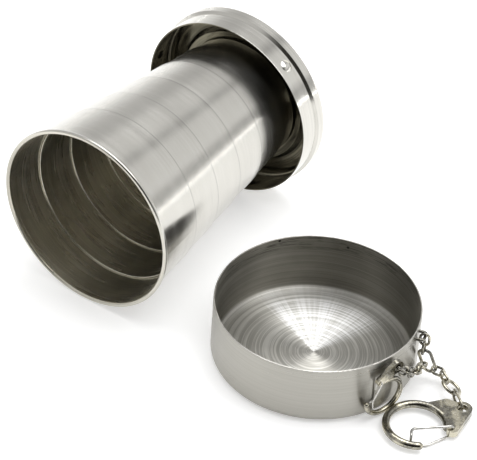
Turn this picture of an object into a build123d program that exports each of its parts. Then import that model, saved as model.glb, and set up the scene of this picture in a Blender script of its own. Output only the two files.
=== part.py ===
"""Collapsible steel travel cup with its lid and keychain, in millimetres.

The extended cup lies on its side along Y, mouth towards -Y, on its mouth bead and base bead.
The lid stands beside it on its flat floor, open side up, with the chain and two snap clips at
its +X side. The origin is on the floor, under the middle of the whole arrangement.
"""
from build123d import *
from math import atan2, cos, degrees, radians, sin, sqrt
import os

os.makedirs("parts", exist_ok=True)

# ---- driving dimensions ----
SHEET = 0.5               # lid and base sheet
CUP_SHEET = 0.4           # cup section sheet
EDGE_ROUND = 0.12         # softened sheet edges

LID_R = 31.0
LID_HEIGHT = 20.1
LID_CORNER = 2.8          # outside radius between the lid's floor and wall

BEAD_R = 30.2             # mouth bead and base bead, the two circles the cup lies on
MOUTH_BEAD = 0.72         # radius of the rolled bead's section
BASE_WALL_R = 29.5        # dish wall at the lip
BASE_HEIGHT = 10.8
SHOULDER_HEIGHT = 4.6     # where the dish wall has narrowed from the bead
SHOULDER_RUN = 0.9
BASE_CORNER = 1.3
PLATEAU_R = 22.1          # raised centre of the dish floor
PLATEAU_RISE = 1.9
PLATEAU_RUN = 1.3
DIMPLE_BALL = 3.2         # radius of the punch that presses the three catches out
DIMPLE_RISE = 0.6
DIMPLE_HEIGHT = 7.0
DIMPLE_ANGLES = (51, 171, 291)

CUP_HEIGHT = 82.8         # back of the base to the mouth
SECTION_HEIGHT = 19.0
SECTION_PITCH = 13.4
SECTION_TAPER = 0.0837    # radius gained per millimetre of height
SECTION_GAP = 0.07        # radial gap between two locked sections
SECTION_COUNT = 5         # sliding sections
FLOOR_CORNER = 1.2

CHAIN_WIRE = 0.42         # radius of the link wire
CHAIN_PITCH = 3.2
LINK_OPENING = 1.9        # width inside a link
PLAY = 0.1                # slack between two engaged wires

# ---- places ----
LID_X, LID_Y = 22.64, -13.9
CUP_X = LID_X - 69.2
BACK_Y = LID_Y + 58.8
CUP_AXIS = Axis((CUP_X, BACK_Y, BEAD_R), (0, -1, 0))
CUP_PROFILE = Plane((CUP_X, BACK_Y, BEAD_R), x_dir=(1, 0, 0), z_dir=(0, 0, -1))
LID_AXIS = Axis((LID_X, LID_Y, 0), (0, 0, 1))
LID_PROFILE = Plane((LID_X, LID_Y, 0), x_dir=(1, 0, 0), z_dir=(0, -1, 0))


def beside_lid(x, y, z):
    """A point measured from the middle of the lid's floor."""
    return Vector(LID_X + x, LID_Y + y, z)


# ---- cup sections ----
step = CUP_SHEET + SECTION_GAP + SECTION_TAPER * SECTION_PITCH
bead_r = BEAD_R - MOUTH_BEAD
bead_height = CUP_HEIGHT - MOUTH_BEAD
rim_wall_height = SECTION_HEIGHT - MOUTH_BEAD
rim_section_r = BEAD_R - 2 * MOUTH_BEAD + CUP_SHEET - SECTION_TAPER * rim_wall_height


def section_bottom_r(number):
    """Lower outer radius of a section, the rim section being number 1."""
    return rim_section_r - step * (number - 1)


def section_bottom(number):
    """Height of a section's lower edge above the back of the base, cup extended."""
    return CUP_HEIGHT - SECTION_HEIGHT - SECTION_PITCH * (number - 1)


def wall_corners(number, height):
    """Corners of a tapered wall, as (radius, height)."""
    outer = section_bottom_r(number)
    low = section_bottom(number)
    top = outer + SECTION_TAPER * height
    return (outer - CUP_SHEET, low), (outer, low), (top, low + height), (top - CUP_SHEET, low + height)


with BuildPart() as cup_rim_section:
    with BuildSketch(CUP_PROFILE) as rim_profile:
        Polygon(*wall_corners(1, rim_wall_height), align=None)
        fillet(rim_profile.vertices().group_by(Axis.Y)[0], EDGE_ROUND)
        with Locations((bead_r, bead_height)):
            Circle(MOUTH_BEAD)
    revolve(axis=CUP_AXIS)
cup_rim_section.part.label = "cup_rim_section"
export_step(cup_rim_section.part, "parts/cup_rim_section.step")

for number in range(2, SECTION_COUNT + 1):
    with BuildPart() as cup_section:
        with BuildSketch(CUP_PROFILE) as wall_profile:
            Polygon(*wall_corners(number, SECTION_HEIGHT), align=None)
            fillet(wall_profile.vertices(), EDGE_ROUND)
        revolve(axis=CUP_AXIS)
    cup_section.part.label = f"cup_section_{number}"
    export_step(cup_section.part, f"parts/cup_section_{number}.step")

# The smallest section is closed by the cup's floor and stands on the dish's plateau.
floor_height = SHEET + PLATEAU_RISE
overlap = SECTION_HEIGHT - SECTION_PITCH
bottom_top = section_bottom(SECTION_COUNT) + overlap
bottom_top_r = section_bottom_r(SECTION_COUNT) - CUP_SHEET - SECTION_GAP + SECTION_TAPER * overlap
bottom_r = bottom_top_r - SECTION_TAPER * (bottom_top - floor_height)
with BuildPart() as cup_bottom_section:
    with BuildSketch(CUP_PROFILE):
        Polygon(
            (0, floor_height),
            (bottom_r, floor_height),
            (bottom_top_r, bottom_top),
            (0, bottom_top),
            align=None,
        )
    revolve(axis=CUP_AXIS)
    fillet(cup_bottom_section.edges().filter_by(GeomType.CIRCLE).sort_by(Axis.Y)[-1], FLOOR_CORNER)
    offset(amount=-CUP_SHEET, openings=cup_bottom_section.faces().sort_by(Axis.Y)[0])
    fillet(cup_bottom_section.edges().filter_by(GeomType.CIRCLE).group_by(Axis.Y)[0], EDGE_ROUND)
cup_bottom_section.part.label = "cup_bottom_section"
export_step(cup_bottom_section.part, "parts/cup_bottom_section.step")

# ---- base dish ----
dish_inner = [
    (0, floor_height),
    (PLATEAU_R + SHEET / 2, floor_height),
    (PLATEAU_R + PLATEAU_RUN + SHEET / 2, SHEET),
    (BEAD_R - SHEET, SHEET),
    (BEAD_R - SHEET, SHOULDER_HEIGHT - SHOULDER_RUN),
    (BASE_WALL_R - SHEET, SHOULDER_HEIGHT),
    (BASE_WALL_R - SHEET, BASE_HEIGHT),
]
dish_outer = [
    (BASE_WALL_R, BASE_HEIGHT),
    (BASE_WALL_R, SHOULDER_HEIGHT),
    (BEAD_R, SHOULDER_HEIGHT - SHOULDER_RUN),
    (BEAD_R, 0),
    (PLATEAU_R + PLATEAU_RUN, 0),
    (PLATEAU_R, PLATEAU_RISE),
    (0, PLATEAU_RISE),
]
hollow = Plane((CUP_X, BACK_Y - DIMPLE_HEIGHT, BEAD_R), z_dir=(0, 1, 0))
punches = []
for angle in DIMPLE_ANGLES:
    outward = Vector(cos(radians(angle)), 0, sin(radians(angle)))
    punches.append(hollow.origin + outward * (BASE_WALL_R - DIMPLE_BALL + DIMPLE_RISE))
with BuildPart() as base_dish:
    with BuildSketch(CUP_PROFILE) as dish_profile:
        Polygon(*dish_inner, *dish_outer, align=None)
        corners = dish_profile.vertices().filter_by(lambda v: v.Y < 0.01)
        fillet(corners.sort_by(Axis.X)[-1], BASE_CORNER)
        corners = dish_profile.vertices().filter_by(lambda v: abs(v.Y - SHEET) < 0.01)
        fillet(corners.sort_by(Axis.X)[-1], BASE_CORNER - SHEET)
        fillet(dish_profile.vertices().group_by(Axis.Y)[-1], EDGE_ROUND)
    revolve(axis=CUP_AXIS)
    with Locations(punches):
        Sphere(DIMPLE_BALL)
    with BuildSketch(hollow):
        Circle(BASE_WALL_R - SHEET)
    extrude(amount=DIMPLE_BALL, both=True, mode=Mode.SUBTRACT)
    with Locations(punches):
        Sphere(DIMPLE_BALL - SHEET, mode=Mode.SUBTRACT)
base_dish.part.label = "base_dish"
export_step(base_dish.part, "parts/base_dish.step")

# ---- lid ----
with BuildPart() as lid:
    with BuildSketch(LID_PROFILE):
        Rectangle(LID_R, LID_HEIGHT, align=Align.MIN)
    revolve(axis=LID_AXIS)
    fillet(lid.edges().filter_by(GeomType.CIRCLE).sort_by(Axis.Z)[0], LID_CORNER)
    offset(amount=-SHEET, openings=lid.faces().sort_by(Axis.Z)[-1])
    fillet(lid.edges().filter_by(GeomType.CIRCLE).group_by(Axis.Z)[-1], 2 * EDGE_ROUND)
lid.part.label = "lid"
export_step(lid.part, "parts/lid.step")


def by_wall(radius, azimuth, z):
    """A point at a radius and an azimuth about the lid's axis."""
    turn = radians(azimuth)
    return Vector(LID_X + radius * cos(turn), LID_Y + radius * sin(turn), z)


# ---- staple on the lid's wall, which the chain hangs from ----
STAPLE_WIRE = 0.5
STAPLE_R = 33.2
STAPLE_AZIMUTH = 17.5
STAPLE_Z = 17.3
STAPLE_HALF = 1.9
staple_plane = Plane(
    by_wall(LID_R, STAPLE_AZIMUTH, STAPLE_Z),
    x_dir=by_wall(1, STAPLE_AZIMUTH, 0) - by_wall(0, STAPLE_AZIMUTH, 0),
    z_dir=(0, 0, 1),
)
staple_reach = STAPLE_R - LID_R
with BuildPart() as lid_eye:
    with BuildLine(staple_plane) as staple_path:
        FilletPolyline(
            (-STAPLE_WIRE, -STAPLE_HALF),
            (staple_reach, -STAPLE_HALF),
            (staple_reach, STAPLE_HALF),
            (-STAPLE_WIRE, STAPLE_HALF),
            radius=1.0,
        )
    with BuildSketch(Plane(staple_path.line @ 0, z_dir=staple_path.line % 0)):
        Circle(STAPLE_WIRE)
    sweep()
    with BuildSketch(LID_PROFILE.offset(0)):
        with Locations((0, STAPLE_Z)):
            Rectangle(LID_R, 4 * STAPLE_WIRE, align=(Align.MIN, Align.CENTER))
    revolve(axis=LID_AXIS, mode=Mode.SUBTRACT)
lid_eye.part.label = "lid_eye"
export_step(lid_eye.part, "parts/lid_eye.step")


# ---- snap clips ----
# Both clips have one shape at two sizes. Its plane holds u and v, with w along the plane's normal.
RING_R = 9.0              # middle of the ring's round bar
RING_BAR = 1.2
RING_FROM, RING_TO = -16, 264
LUG = (10.1, -3.4)        # gate pivot
LUG_R = 1.8
EYE = (14.7, 4.9)
EYE_R = 2.9
EYE_HOLE = 1.5
EYE_CATCH = 0.9           # from the eye's middle to where a link bears on it
BODY_HALF = 1.0           # half the body's thickness
WEB_HALF = 0.7
GATE_WIRE = 0.42
GATE_W = 1.75             # the gate's legs run this far each side of the middle plane
PIVOT_PLAY = 0.05


def make_clip(name, plane, scale, webbed):
    """A cast frame with a round ring bar, a body with an eye, and a sprung wire gate."""

    def at(u, v):
        return (u * scale, v * scale)

    nose = (RING_R * scale * cos(radians(RING_TO)), RING_R * scale * sin(radians(RING_TO)))
    with BuildPart() as frame:
        with BuildLine(plane) as bar_path:
            CenterArc((0, 0), RING_R * scale, RING_FROM, RING_TO - RING_FROM)
        with BuildSketch(Plane(bar_path.line @ 0, z_dir=bar_path.line % 0)):
            Circle(RING_BAR * scale)
        sweep()
        with Locations(plane.from_local_coords((*nose, 0))):
            Sphere(RING_BAR * scale)
        if webbed:
            with BuildSketch(plane.offset(-WEB_HALF * scale)):
                for u, v, r in ((4.9, 7.7, 0.9), (10.6, 8.4, 1.3), (*EYE, 2), (9.2, 0.5, 0.9)):
                    with Locations(at(u, v)):
                        Circle(r * scale)
                make_hull()
                Circle(RING_R * scale, mode=Mode.SUBTRACT)
            extrude(amount=2 * WEB_HALF * scale)
        with BuildSketch(plane.offset(-BODY_HALF * scale)):
            with Locations(at(*LUG)):
                Circle(LUG_R * scale)
            with Locations(at(*EYE)):
                Circle(EYE_R * scale)
            make_hull()
        extrude(amount=2 * BODY_HALF * scale)
        with BuildSketch(plane.offset(-2 * BODY_HALF * scale)):
            with Locations(at(*EYE)):
                Circle(EYE_HOLE * scale)
            with Locations(at(*LUG)):
                Circle((GATE_WIRE + PIVOT_PLAY) * scale)
        extrude(amount=4 * BODY_HALF * scale, mode=Mode.SUBTRACT)
        eye_centre = plane.from_local_coords((EYE[0] * scale, EYE[1] * scale, 0))
        eye_edges = frame.edges().filter_by(GeomType.CIRCLE)
        eye_edges = eye_edges.filter_by(lambda e: abs(e.radius - EYE_HOLE * scale) < 0.01)
        fillet(eye_edges.filter_by(lambda e: (e.arc_center - eye_centre).length < 2 * scale), 0.25 * scale)
    frame.part.label = f"{name}_frame"
    export_step(frame.part, f"parts/{name}_frame.step")

    def leg(u, v, w):
        return plane.from_local_coords((u * scale, v * scale, w * scale))

    with BuildPart() as gate:
        with BuildLine() as gate_path:
            FilletPolyline(
                leg(*LUG, 0.3),
                leg(*LUG, GATE_W),
                leg(-2.2, -3.4, GATE_W),
                leg(-2.9, -6.5, GATE_W),
                leg(-2.9, -6.5, -GATE_W),
                leg(1.5, -7.4, -GATE_W),
                leg(*LUG, -GATE_W),
                leg(*LUG, -0.3),
                radius=[r * scale for r in (0.7, 1.6, 0.9, 0.9, 4.0, 0.7)],
            )
        with BuildSketch(Plane(gate_path.line @ 0, z_dir=gate_path.line % 0)):
            Circle(GATE_WIRE * scale)
        sweep()
    gate.part.label = f"{name}_gate"
    export_step(gate.part, f"parts/{name}_gate.step")


# The large clip lies flat beside the lid.
LARGE_X, LARGE_Y, LARGE_Z = 42.7, -9.0, 2.2
LARGE_TURN = 44
large_plane = Plane(
    beside_lid(LARGE_X, LARGE_Y, LARGE_Z),
    x_dir=(cos(radians(LARGE_TURN)), sin(radians(LARGE_TURN)), 0),
    z_dir=(0, 0, 1),
)
make_clip("large_clip", large_plane, 1, webbed=True)

# The small clip stands on edge against the lid's wall.
SMALL_SCALE = 0.7
SMALL_R = 32.6
SMALL_Z = 7.6
SMALL_AZIMUTH = -17.5
SMALL_LEAN = 3
small_out = by_wall(1, SMALL_AZIMUTH, 0) - by_wall(0, SMALL_AZIMUTH, 0)
small_up = small_out * sin(radians(SMALL_LEAN)) + Vector(0, 0, cos(radians(SMALL_LEAN)))
small_side = Vector(0, 0, 1).cross(small_out)
small_plane = Plane(by_wall(SMALL_R, SMALL_AZIMUTH, SMALL_Z), x_dir=small_up, z_dir=small_up.cross(small_side))
make_clip("small_clip", small_plane, SMALL_SCALE, webbed=False)


# ---- chain ----
def make_link(name, centre, along, across, half_length, half_width, wire):
    """A closed wire link, its sizes measured to the middle of the wire."""
    normal = along.cross(across)
    plane = Plane(centre, x_dir=along, z_dir=normal)
    straight = half_length - half_width
    with BuildPart() as link:
        with BuildLine(plane) as path:
            Line((-straight, -half_width), (straight, -half_width))
            JernArc((straight, -half_width), (1, 0), half_width, 180)
            Line((straight, half_width), (-straight, half_width))
            JernArc((-straight, half_width), (-1, 0), half_width, 180)
        with BuildSketch(Plane(path.line @ 0, z_dir=path.line % 0)):
            Circle(wire)
        sweep()
    link.part.label = name
    export_step(link.part, f"parts/{name}.step")


def make_strand(names, contacts, upright, bar=None):
    """Links of one strand, each reaching from one contact point to the next.

    Links stand out from the lid's wall and lie along it by turns, the first standing out if
    upright. The first is square to the bar that it hooks round, where there is one.
    """
    half_width = LINK_OPENING / 2 + CHAIN_WIRE
    for name, near, far in zip(names, contacts, contacts[1:]):
        centre = (near + far) / 2
        along = (far - near).normalized()
        outward = Vector(centre.X - LID_X, centre.Y - LID_Y, 0)
        sideways = along.cross(outward).normalized()
        across = sideways.cross(along) if upright else sideways
        if bar is not None:
            across = along.cross(bar).normalized()
            bar = None
        half_length = (far - near).length / 2 + CHAIN_WIRE + PLAY / 2
        make_link(name, centre, along, across, half_length, half_width, CHAIN_WIRE)
        upright = not upright


# Two links hang from the staple.
hang_top = STAPLE_Z + STAPLE_WIRE + PLAY / 2
hanging = [by_wall(STAPLE_R, STAPLE_AZIMUTH, hang_top - CHAIN_PITCH * i) for i in range(3)]
make_strand(["hanging_link_1", "hanging_link_2"], hanging, upright=True)

# The tall fork ring leans out from them to the floor and carries both strands.
FORK_WIRE = 0.5
FORK_HALF_LENGTH = 4.8
FORK_HALF_WIDTH = 1.85
fork_top = hanging[-1] + Vector(0, 0, FORK_WIRE + 1.5 * PLAY)
fork_along = (by_wall(36.0, 20.5, 2.8) - fork_top).normalized()
fork_centre = fork_top + fork_along * FORK_HALF_LENGTH
fork_outward = by_wall(1, 19, 0) - by_wall(0, 19, 0)
fork_across = (fork_outward - fork_along * fork_outward.dot(fork_along)).normalized()
make_link("fork_ring", fork_centre, fork_along, fork_across, FORK_HALF_LENGTH, FORK_HALF_WIDTH, FORK_WIRE)

# Seven links climb in a slack arc from the fork's inner side to the small clip's eye.
SIDE_LINKS = 7
SIDE_LEAVES = 20          # upward slope of the arc at the fork, degrees
SIDE_ARRIVES = 50         # and at the clip
fork_side = fork_centre + fork_along * 1.6 - fork_across * FORK_HALF_WIDTH
small_eye = small_plane.from_local_coords((EYE[0] * SMALL_SCALE, EYE[1] * SMALL_SCALE, 0))


def climbing(place, slope):
    """A direction beside the wall at a place, climbing towards smaller azimuths."""
    round_lid = Vector(LID_Y - place.Y, place.X - LID_X).normalized()
    return Vector(0, 0, sin(radians(slope))) - round_lid * cos(radians(slope))


side_start = fork_side - climbing(fork_side, SIDE_LEAVES) * (FORK_WIRE + PLAY)
side_end = small_eye - climbing(small_eye, SIDE_ARRIVES) * EYE_CATCH * SMALL_SCALE
start_out = Vector(side_start.X - LID_X, side_start.Y - LID_Y)
end_out = Vector(side_end.X - LID_X, side_end.Y - LID_Y)
start_azimuth = degrees(atan2(start_out.Y, start_out.X))
end_azimuth = degrees(atan2(end_out.Y, end_out.X))
mean_r = (start_out.length + end_out.length) / 2
span = Vector(radians(end_azimuth - start_azimuth) * mean_r, side_end.Z - side_start.Z)
slack = 1 - span.length / (SIDE_LINKS * CHAIN_PITCH)
half_turn = sqrt(6 * slack / (1 - 1 / SIDE_LINKS**2))
bow_r = span.length / 2 / sin(half_turn)
ahead = span.normalized()
droop = Vector(-ahead.Y, ahead.X)
side = []
for i in range(SIDE_LINKS + 1):
    share = i / SIDE_LINKS
    turn = half_turn * (2 * share - 1)
    run = span.length / 2 + bow_r * sin(turn)
    sag = bow_r * (cos(turn) - cos(half_turn))
    flat = ahead * run + droop * sag
    radius = start_out.length + (end_out.length - start_out.length) * share
    side.append(by_wall(radius, start_azimuth + degrees(flat.X / mean_r), side_start.Z + flat.Y))
make_strand([f"side_link_{i + 1}" for i in range(SIDE_LINKS)], side, upright=True, bar=fork_along)


# The floor strand runs from the fork's lower bend through the jump ring to the large clip's eye.
def heading(turn, slope):
    """A direction by its angle in plan and its downward slope."""
    level = cos(radians(slope))
    return Vector(level * cos(radians(turn)), level * sin(radians(turn)), -sin(radians(slope)))


RING_WIRE = 0.55
JUMP_R = 3.0
BEND = 38                 # where on the fork's lower bend the strand pulls
FIRST_HEADING = heading(32, 20)
SECOND_HEADING = heading(-24, 10)
CONNECTOR_OPENING = 2.7
link_half_width = LINK_OPENING / 2 + CHAIN_WIRE
link_beyond = CHAIN_WIRE + PLAY / 2
link_half_length = CHAIN_PITCH / 2 + link_beyond

bow_centre = fork_centre + fork_along * (FORK_HALF_LENGTH - FORK_HALF_WIDTH)
pull = fork_across * cos(radians(BEND)) + fork_along * sin(radians(BEND))
bar = fork_along * cos(radians(BEND)) - fork_across * sin(radians(BEND))
first_start = bow_centre + pull * FORK_HALF_WIDTH - FIRST_HEADING * (FORK_WIRE + PLAY)
first_centre = first_start + FIRST_HEADING * CHAIN_PITCH / 2
first_across = FIRST_HEADING.cross(bar).normalized()
make_link("floor_link_1", first_centre, FIRST_HEADING, first_across, link_half_length, link_half_width, CHAIN_WIRE)

first_bow = first_centre + FIRST_HEADING * (link_half_length - link_half_width)
second_centre = first_bow + SECOND_HEADING * (link_half_width - link_beyond + CHAIN_PITCH / 2 - 2 * PLAY)
upright_across = Vector(0, 0, 1).cross(SECOND_HEADING).normalized().cross(SECOND_HEADING)
make_link("floor_link_2", second_centre, SECOND_HEADING, upright_across, link_half_length, link_half_width, CHAIN_WIRE)

ring_centre = second_centre + SECOND_HEADING * (CHAIN_PITCH / 2 + JUMP_R - RING_WIRE - PLAY / 2)
large_eye = large_plane.from_local_coords((*EYE, 0))
to_eye = (large_eye - ring_centre).normalized()
with BuildPart() as jump_ring:
    with Locations(Plane(ring_centre, x_dir=to_eye, z_dir=SECOND_HEADING.cross(to_eye))):
        Torus(JUMP_R, RING_WIRE)
jump_ring.part.label = "jump_ring"
export_step(jump_ring.part, "parts/jump_ring.step")

near = ring_centre + to_eye * (JUMP_R - RING_WIRE - PLAY / 2)
far = large_eye - to_eye * EYE_CATCH
half_length = (far - near).length / 2 + link_beyond
half_width = CONNECTOR_OPENING / 2 + CHAIN_WIRE
stand = Vector(0, 0, 1).cross(to_eye).normalized().cross(to_eye)
make_link("connector_link", (near + far) / 2, to_eye, stand, half_length, half_width, CHAIN_WIRE)
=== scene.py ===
"""Looks for the collapsible travel cup: brushed steel, turned lid, nickel keychain, white studio."""

from math import cos, radians, sin

import bpy
from mathutils import Matrix, Vector


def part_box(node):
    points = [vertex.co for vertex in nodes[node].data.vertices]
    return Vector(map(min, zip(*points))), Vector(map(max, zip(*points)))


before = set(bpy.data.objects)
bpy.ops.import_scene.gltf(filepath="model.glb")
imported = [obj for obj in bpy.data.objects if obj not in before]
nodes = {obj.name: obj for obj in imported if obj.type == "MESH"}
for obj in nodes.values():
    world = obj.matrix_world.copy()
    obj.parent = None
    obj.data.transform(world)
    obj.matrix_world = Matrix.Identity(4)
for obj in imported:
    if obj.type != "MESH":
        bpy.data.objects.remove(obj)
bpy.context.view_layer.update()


def middle(node):
    low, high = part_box(node)
    return (Vector(low) + Vector(high)) / 2


def top(node):
    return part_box(node)[1]


LID = middle("lid")
LID.z = 0.0
CUP = middle("base_dish")
CUP_AXIS = Vector((0, 1, 0))
LID_AXIS = Vector((0, 0, 1))
LID_SHEET = 0.0005
AWAY = radians(123)  # the way across the floor that leads away from the camera
SECTION_SHIFT = 0.013  # moves each section's grain along, so no two are alike
FLOOR_HALF = 6.0
FRAME_WIDTH = 477
FOCAL_LENGTH = 3300  # in the same unit as FRAME_WIDTH
SENSOR = 36.0


# ---- small helpers for node trees ----
class Tree:
    """A material's node tree, built one call per node."""

    def __init__(self, name):
        self.material = bpy.data.materials.new(name)
        self.material.use_nodes = True
        self.nodes = self.material.node_tree.nodes
        self.links = self.material.node_tree.links
        self.nodes.clear()
        self.object = self.nodes.new("ShaderNodeTexCoord").outputs["Object"]
        self.geometry = self.nodes.new("ShaderNodeNewGeometry")

    def put(self, socket, value):
        if value is None:
            return
        if isinstance(value, bpy.types.NodeSocket):
            self.links.new(value, socket)
        else:
            socket.default_value = value

    def math(self, operation, a, b=None, clamp=False):
        node = self.nodes.new("ShaderNodeMath")
        node.operation = operation
        node.use_clamp = clamp
        self.put(node.inputs[0], a)
        self.put(node.inputs[1], b)
        return node.outputs[0]

    def vector(self, operation, a, b=None, scale=None):
        node = self.nodes.new("ShaderNodeVectorMath")
        node.operation = operation
        self.put(node.inputs[0], a)
        self.put(node.inputs[1], b)
        if scale is not None:
            self.put(node.inputs["Scale"], scale)
        return next(socket for socket in node.outputs if socket.enabled)

    def noise(self, vector, scale=1.0, detail=2.0, roughness=0.5, distortion=0.0):
        node = self.nodes.new("ShaderNodeTexNoise")
        self.put(node.inputs["Vector"], vector)
        node.inputs["Scale"].default_value = scale
        node.inputs["Detail"].default_value = detail
        node.inputs["Roughness"].default_value = roughness
        node.inputs["Distortion"].default_value = distortion
        return node.outputs["Fac"]

    def spread(self, value, low, high, out_low=0.0, out_high=1.0):
        node = self.nodes.new("ShaderNodeMapRange")
        node.interpolation_type = "SMOOTHSTEP"
        for socket, item in zip(node.inputs[:5], (value, low, high, out_low, out_high)):
            self.put(socket, item)
        return node.outputs[0]

    def mix(self, factor, a, b):
        node = self.nodes.new("ShaderNodeMix")
        node.data_type = "RGBA"
        self.put(node.inputs[0], factor)
        self.put(node.inputs[6], a)
        self.put(node.inputs[7], b)
        return node.outputs[2]

    def bump(self, height, strength, distance, normal=None):
        node = self.nodes.new("ShaderNodeBump")
        node.inputs["Strength"].default_value = strength
        node.inputs["Distance"].default_value = distance
        self.put(node.inputs["Height"], height)
        self.put(node.inputs["Normal"], normal)
        return node.outputs[0]

    def metal(self, colour, roughness, normal, anisotropy=0.0, tangent=None):
        shader = self.nodes.new("ShaderNodeBsdfPrincipled")
        shader.inputs["Metallic"].default_value = 1.0
        self.put(shader.inputs["Base Color"], colour)
        self.put(shader.inputs["Roughness"], roughness)
        self.put(shader.inputs["Normal"], normal)
        shader.inputs["Anisotropic"].default_value = anisotropy
        self.put(shader.inputs["Tangent"], tangent)
        output = self.nodes.new("ShaderNodeOutputMaterial")
        self.links.new(shader.outputs[0], output.inputs[0])
        return self.material


def grey(value, warmth=0.0):
    return (value * (1 + 0.7 * warmth), value, value * (1 - 2.2 * warmth), 1.0)


def painted_fan_highlight(t, radial, radius, fan, marks):
    """A painted highlight: a wedge of brighter marks opening from the centre, sharp on one side,
    soft on the other.
    """
    middle_way, sharp_way = fan
    outward = t.vector("NORMALIZE", radial)
    soft = t.vector("DOT_PRODUCT", outward, (cos(middle_way), sin(middle_way), 0))
    edge = t.vector("DOT_PRODUCT", outward, (-sin(sharp_way), cos(sharp_way), 0))
    spokes = t.noise(outward, scale=16.0, detail=3.0, roughness=0.7)
    wedge = t.math("MULTIPLY", t.spread(soft, 0.55, 0.8), t.spread(edge, -0.02, 0.015, 1.0, 0.0))
    wedge = t.math("MULTIPLY", wedge, t.spread(radius, 0.021, 0.0265, 1.0, 0.25))
    strength = t.math("ADD", t.math("MULTIPLY", marks, 0.5), t.spread(spokes, 0.35, 0.65, 0.05, 0.5))
    return t.math("MULTIPLY", wedge, strength, clamp=True)


def turned_steel(
    name, centre, axis, opens, outside, inside_painted_shading, flat_painted_shading, rough, anisotropy, groove, wobble, seam_shade_lines=()
):
    """Sheet steel brushed round its axis: fine grooves, slow waves, and a tone on each face that
    carries painted light and shade.

    opens is 1 or -1, the way along the axis the piece opens. The fifth, sixth and seventh arguments
    are three tone pairs, for the outside, the inner faces and the inner faces square to the axis:
    the dark and light tone of each face. On the faces square to the axis the turning marks stand
    out.
    The pairs for the inner faces and for the faces square to the axis are painted light and shade,
    set apart from the outside steel by how light falls there: lighter within the cup and on the lid
    floor, darker in the dish and on the lid's inner wall. The highlight stretches across the
    grooves, so the tangent runs along the profile. The last argument lists places along the axis
    where a section's edge gets a fine dark line of painted shade on the outside.
    """
    t = Tree(name)
    across = t.vector("SUBTRACT", t.object, tuple(centre))
    axial = t.vector("DOT_PRODUCT", across, tuple(axis))
    along_axis = t.vector("SCALE", tuple(axis), scale=axial)
    radial = t.vector("SUBTRACT", across, along_axis)
    radius = t.vector("LENGTH", radial)
    round_unit = t.vector("NORMALIZE", radial)
    normal = t.geometry.outputs["Normal"]
    facing_out = t.vector("DOT_PRODUCT", normal, round_unit)
    inner = t.spread(facing_out, -0.08, 0.08, 1.0, 0.0)
    facing_mouth = t.math("MULTIPLY", t.vector("DOT_PRODUCT", normal, tuple(axis)), float(opens))
    inner = t.math("MULTIPLY", inner, t.spread(facing_mouth, -0.9, -0.5))

    # One coordinate runs along the profile, the other slowly round the axis.
    profile = t.math("ADD", axial, radius)

    def stretched(turns, steps, detail, roughness=0.5):
        turning = t.vector("SCALE", round_unit, scale=turns)
        running = t.vector("SCALE", tuple(axis), scale=t.math("MULTIPLY", profile, steps))
        return t.noise(t.vector("ADD", turning, running), detail=detail, roughness=roughness)

    fine = stretched(groove["round"], groove["fine"], 3.0, 0.7)
    wide = stretched(groove["round"], groove["wide"], 2.0)
    wave = stretched(wobble["round"], wobble["along"], 1.5)
    cloud = t.noise(t.object, scale=38.0, detail=3.0, roughness=0.6)

    tone = t.math("ADD", t.math("MULTIPLY", wide, 0.15), t.math("MULTIPLY", cloud, 0.35))
    tone = t.spread(t.math("ADD", t.math("MULTIPLY", fine, 0.5), tone), 0.32, 0.68)
    level = t.spread(facing_mouth, 0.55, 0.9)
    marks = t.math("ADD", t.math("MULTIPLY", fine, 0.6), t.math("MULTIPLY", wide, 0.4))
    marks = t.spread(marks, 0.42, 0.6)
    # Painted light and shade: the inner faces, and apart from them the faces square to the axis,
    # take their own tone pairs instead of the outside steel's.
    colour = t.mix(inner, t.mix(tone, outside[0], outside[1]), t.mix(tone, inside_painted_shading[0], inside_painted_shading[1]))
    turned = t.mix(marks, flat_painted_shading[0], flat_painted_shading[1])
    # Painted highlight: within the fan wedge the turning marks are mixed towards white.
    if "fan" in groove:
        turned = t.mix(painted_fan_highlight(t, radial, radius, groove["fan"], marks), turned, grey(1.0))
    colour = t.mix(level, colour, turned)
    # Painted shade: a fine near-black line along each section's edge, on the outside faces only.
    for seam in seam_shade_lines:
        gap = t.math("ABSOLUTE", t.math("SUBTRACT", axial, seam))
        line = t.spread(gap, 0.0001, 0.0004, 0.5, 0.0)
        line = t.math("MULTIPLY", line, t.math("SUBTRACT", 1.0, inner))
        colour = t.mix(line, colour, grey(0.12, 0.04))
    if "worn_from" in groove:
        band = t.spread(axial, groove["worn_from"], groove["worn_from"] + 0.004)
        scratches = t.spread(stretched(3.0, 1500.0, 3.0, 0.8), 0.5, 0.62, 0.0, 0.75)
        worn = t.math("MULTIPLY", t.math("MULTIPLY", band, inner), scratches)
        colour = t.mix(worn, colour, grey(0.07, 0.08))
    for speck in groove.get("specks", ()):
        distance = t.vector("LENGTH", t.vector("SUBTRACT", t.object, tuple(speck)))
        colour = t.mix(t.spread(distance, 0.00025, 0.0006, 0.9, 0.0), colour, grey(0.02, 0.05))
    roughness = t.math("ADD", rough[0], t.math("MULTIPLY", t.math("SUBTRACT", wide, 0.5), 0.16))
    roughness = t.math("ADD", roughness, t.math("MULTIPLY", inner, rough[1] - rough[0]))
    patches = t.math("MULTIPLY", t.math("SUBTRACT", cloud, 0.5), 0.08)
    roughness = t.math("ADD", roughness, patches, clamp=True)
    shape = t.bump(wave, wobble["strength"], wobble["depth"])
    shape = t.bump(wide, 0.5, groove["depth"] * 2, shape)
    shape = t.bump(fine, 0.6, groove["depth"], shape)
    profile_way = t.vector("CROSS_PRODUCT", normal, t.vector("CROSS_PRODUCT", tuple(axis), radial))
    return t.metal(colour, roughness, shape, anisotropy, t.vector("NORMALIZE", profile_way))


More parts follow.
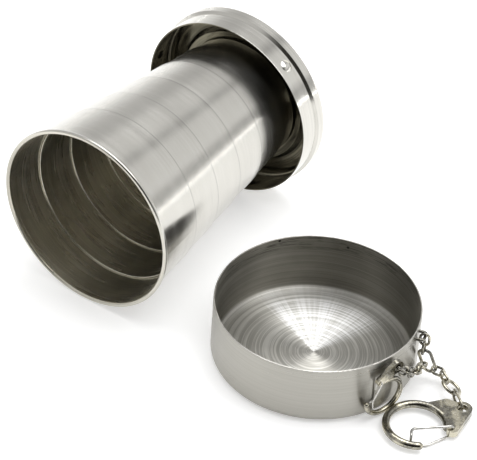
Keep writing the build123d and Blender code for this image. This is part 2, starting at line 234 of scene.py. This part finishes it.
def nickel(name, light, dark, rough):
    """Cast or drawn metal with thin bright plate: soft waviness, specks, and near-black patches of
    painted shade for the darker hollows, scattered by noise.
    """
    t = Tree(name)
    wave = t.noise(t.object, scale=420.0, detail=2.0)
    grain = t.noise(t.object, scale=2600.0, detail=3.0, roughness=0.7)
    shade_patch_noise = t.noise(t.object, scale=190.0, detail=3.0, roughness=0.6, distortion=0.6)
    # Painted shade: the dark end of these random patches stands in for the hollows, though noise
    # places it, not the hollows themselves.
    worn = t.spread(shade_patch_noise, 0.42, 0.62)
    colour = t.mix(worn, dark, light)
    colour = t.mix(t.spread(grain, 0.3, 0.75, 0.0, 0.3), colour, grey(0.95))
    roughness = t.math("ADD", rough, t.math("MULTIPLY", t.math("SUBTRACT", shade_patch_noise, 0.5), 0.22))
    shape = t.bump(wave, 0.35, 0.00025)
    shape = t.bump(grain, 0.25, 0.00004, shape)
    return t.metal(colour, roughness, shape)


def dress(names, material):
    for name in names:
        mesh = nodes[name].data
        mesh.materials.clear()
        mesh.materials.append(material)


cup_groove = {"round": 0.7, "fine": 3200.0, "wide": 420.0, "depth": 0.000004}
sections = ["cup_rim_section", "cup_section_2", "cup_section_3", "cup_section_4", "cup_section_5"]
for index, name in enumerate(sections + ["cup_bottom_section"]):
    place = CUP + Vector((0, SECTION_SHIFT * index, 0))
    edge = top(name)[1] - place.y
    dress([name], turned_steel(
        f"brushed_{name}", place, CUP_AXIS, -1,
        (grey(0.53, 0.035), grey(0.60, 0.03)),
        # Painted light: this inner-face pair is lighter and warmer than the outside, for light
        # bouncing in through the mouth.
        (grey(0.54, 0.065), grey(0.80, 0.055)),
        (grey(0.40, 0.06), grey(0.60, 0.05)),
        (0.2, 0.27), 0.6, cup_groove,
        {"round": 2.2, "along": 60.0, "strength": 0.35, "depth": 0.00022},
        seam_shade_lines=(edge,),
    ))
dress(["base_dish"], turned_steel(
    "satin_base", CUP, CUP_AXIS, -1,
    (grey(0.54, 0.035), grey(0.66, 0.03)),
    # Painted shade: this pair and the next, for the inner faces and the plateau, are near black
    # where the dish's hollow falls dark.
    (grey(0.13, 0.1), grey(0.22, 0.09)),
    (grey(0.05, 0.13), grey(0.16, 0.12)),
    (0.14, 0.2), 0.5, {"round": 0.7, "fine": 2400.0, "wide": 500.0, "depth": 0.000003},
    {"round": 3.4, "along": 110.0, "strength": 0.4, "depth": 0.0003},
))
wall = top("lid")[0] - LID.x - LID_SHEET
specks = [(radians(147), 0.0193), (radians(107), 0.0175)]
lid_groove = {
    "round": 0.5, "fine": 3000.0, "wide": 1500.0, "depth": 0.00001,
    # fan gives the middle and the sharp-edge directions of a painted highlight wedge on the lid
    # floor.
    "fan": (AWAY - radians(6), AWAY + radians(38)),
    "worn_from": 0.0135,
    "specks": [LID + Vector((wall * cos(way), wall * sin(way), z)) for way, z in specks],
}
dress(["lid"], turned_steel(
    "turned_lid", LID, LID_AXIS, 1,
    (grey(0.36, 0.045), grey(0.42, 0.04)),
    # Painted shade on the inner wall, darker than the outside; the next pair is painted light on the
    # floor, lighter than the walls.
    (grey(0.19, 0.07), grey(0.31, 0.06)),
    (grey(0.42, 0.04), grey(0.66, 0.03)),
    (0.3, 0.46), 0.9, lid_groove,
    {"round": 2.0, "along": 40.0, "strength": 0.25, "depth": 0.0002},
))
chain = [n for n in nodes if "link" in n or n in ("fork_ring", "jump_ring", "lid_eye")]
gates = [n for n in nodes if n.endswith("_gate")]
frames = [n for n in nodes if n.endswith("_clip_frame")]
# The near-black dark tones of chain and clip frames are painted shade for their hollows.
dress(chain, nickel("nickel_chain", grey(0.46, 0.11), grey(0.08, 0.15), 0.15))
dress(frames, nickel("nickel_clip", grey(0.46, 0.12), grey(0.11, 0.15), 0.14))
dress(gates, nickel("nickel_gate", grey(0.62, 0.03), grey(0.36, 0.04), 0.17))

# ---- floor, light and camera ----
floor_mesh = bpy.data.meshes.new("studio_floor")
corners = [(x * FLOOR_HALF, y * FLOOR_HALF, 0) for x, y in ((-1, -1), (1, -1), (1, 1), (-1, 1))]
floor_mesh.from_pydata(corners, [], [(0, 1, 2, 3)])
floor = bpy.data.objects.new("studio_floor", floor_mesh)
bpy.context.scene.collection.objects.link(floor)
t = Tree("studio_white")
shader = t.nodes.new("ShaderNodeBsdfPrincipled")
t.put(shader.inputs["Base Color"], t.mix(t.noise(t.object, scale=3.0), grey(0.86), grey(0.88)))
shader.inputs["Roughness"].default_value = 0.9
shader.inputs["Specular IOR Level"].default_value = 0.1
shader.inputs["Emission Color"].default_value = grey(1.0)
shader.inputs["Emission Strength"].default_value = 0.38
t.links.new(shader.outputs[0], t.nodes.new("ShaderNodeOutputMaterial").inputs[0])
floor_mesh.materials.append(t.material)

EYE = LID + Vector((0.384015, -0.635149, 0.653188))
TURN, TILT, ROLL = radians(33.091), radians(39.335), radians(4.193)
forward = Vector((-sin(TURN) * cos(TILT), cos(TURN) * cos(TILT), -sin(TILT)))
level_right = Vector((cos(TURN), sin(TURN), 0))
level_up = level_right.cross(forward)
right = level_right * cos(ROLL) + level_up * sin(ROLL)
up = level_up * cos(ROLL) - level_right * sin(ROLL)
camera_data = bpy.data.cameras.new("camera")
camera_data.sensor_width = SENSOR
camera_data.lens = FOCAL_LENGTH * SENSOR / FRAME_WIDTH
camera_data.clip_start = 0.05
camera = bpy.data.objects.new("camera", camera_data)
camera.matrix_world = Matrix((
    (right.x, up.x, -forward.x, EYE.x),
    (right.y, up.y, -forward.y, EYE.y),
    (right.z, up.z, -forward.z, EYE.z),
    (0, 0, 0, 1),
))
bpy.context.scene.collection.objects.link(camera)
bpy.context.scene.camera = camera


def soft_light(name, place, target, width, height, power, mirrored):
    """A large soft lamp. One that is not mirrored draws no streak on the steel."""
    data = bpy.data.lights.new(name, "AREA")
    data.shape = "RECTANGLE"
    data.size = width
    data.size_y = height
    data.energy = power
    light = bpy.data.objects.new(name, data)
    light.location = place
    light.rotation_euler = (Vector(target) - Vector(place)).to_track_quat("-Z", "Y").to_euler()
    light.visible_glossy = mirrored
    bpy.context.scene.collection.objects.link(light)


soft_light("overhead_softbox", (0.07, 0.25, 1.16), (0, 0, 0), 1.4, 0.8, 10.0, True)
soft_light("left_softbox", (-0.95, -0.25, 0.75), (0, 0, 0.03), 0.8, 0.8, 2.0, False)

# ---- the room the steel mirrors ----
world = bpy.data.worlds.new("studio")
bpy.context.scene.world = world
world.use_nodes = True
tree = world.node_tree
tree.nodes.clear()


def room_node(kind, first, second=None, operation=None):
    node = tree.nodes.new(kind)
    if operation:
        node.operation = operation
    for socket, value in zip(node.inputs, (first, second)):
        if isinstance(value, bpy.types.NodeSocket):
            tree.links.new(value, socket)
        elif value is not None:
            socket.default_value = value
    return node


def room_ramp(value, stops):
    node = tree.nodes.new("ShaderNodeValToRGB")
    elements = node.color_ramp.elements
    while len(elements) < len(stops):
        elements.new(0.5)
    for element, (place, level) in zip(elements, stops):
        element.position = place
        element.color = grey(level)
    tree.links.new(value, node.inputs[0])
    return node.outputs[0]


def room_mix(low, high, value, a, b):
    mask = tree.nodes.new("ShaderNodeMapRange")
    mask.interpolation_type = "SMOOTHSTEP"
    mask.inputs[1].default_value = low
    mask.inputs[2].default_value = high
    tree.links.new(value, mask.inputs[0])
    node = tree.nodes.new("ShaderNodeMix")
    node.data_type = "RGBA"
    sockets = (node.inputs[0], node.inputs[6], node.inputs[7])
    for socket, item in zip(sockets, (mask.outputs[0], a, b)):
        if isinstance(item, bpy.types.NodeSocket):
            tree.links.new(item, socket)
        else:
            socket.default_value = item
    return node.outputs[2]


direction = tree.nodes.new("ShaderNodeTexCoord").outputs["Generated"]
parts = room_node("ShaderNodeSeparateXYZ", direction).outputs
# Panels run lengthways over the cup: bright at both horizons, with two darker gaps between.
swing = room_node("ShaderNodeMath", parts[2], parts[0], "ARCTAN2").outputs[0]
swing = room_node("ShaderNodeMath", swing, 3.1416, "DIVIDE").outputs[0]
panels = room_ramp(swing, [
    (0.0, 5.0), (0.007, 4.0), (0.015, 0.78), (0.09, 0.55), (0.15, 1.0), (0.27, 0.92),
    (0.37, 0.85), (0.43, 0.5), (0.5, 0.76), (0.64, 0.7), (0.74, 0.62), (0.84, 0.7),
    (0.93, 1.0), (1.0, 1.2),
])
front = room_ramp(parts[2], [(0.0, 0.9), (0.2, 0.7), (0.6, 0.75), (1.0, 0.7)])
room = room_mix(-0.15, 0.25, parts[1], front, panels)
unlit_way = Vector((0.5, -0.78, 0.38)).normalized()
behind_camera = room_node("ShaderNodeVectorMath", direction, unlit_way, "DOT_PRODUCT")
room = room_mix(0.6, 0.88, behind_camera.outputs["Value"], room, grey(0.04, 0.05))
background = tree.nodes.new("ShaderNodeBackground")
background.inputs["Strength"].default_value = 1.0
tree.links.new(room, background.inputs[0])
tree.links.new(background.outputs[0], tree.nodes.new("ShaderNodeOutputWorld").inputs[0])

bpy.context.scene.view_settings.view_transform = "Standard"
bpy.context.scene.view_settings.exposure = 0.0

bpy.context.view_layer.update()
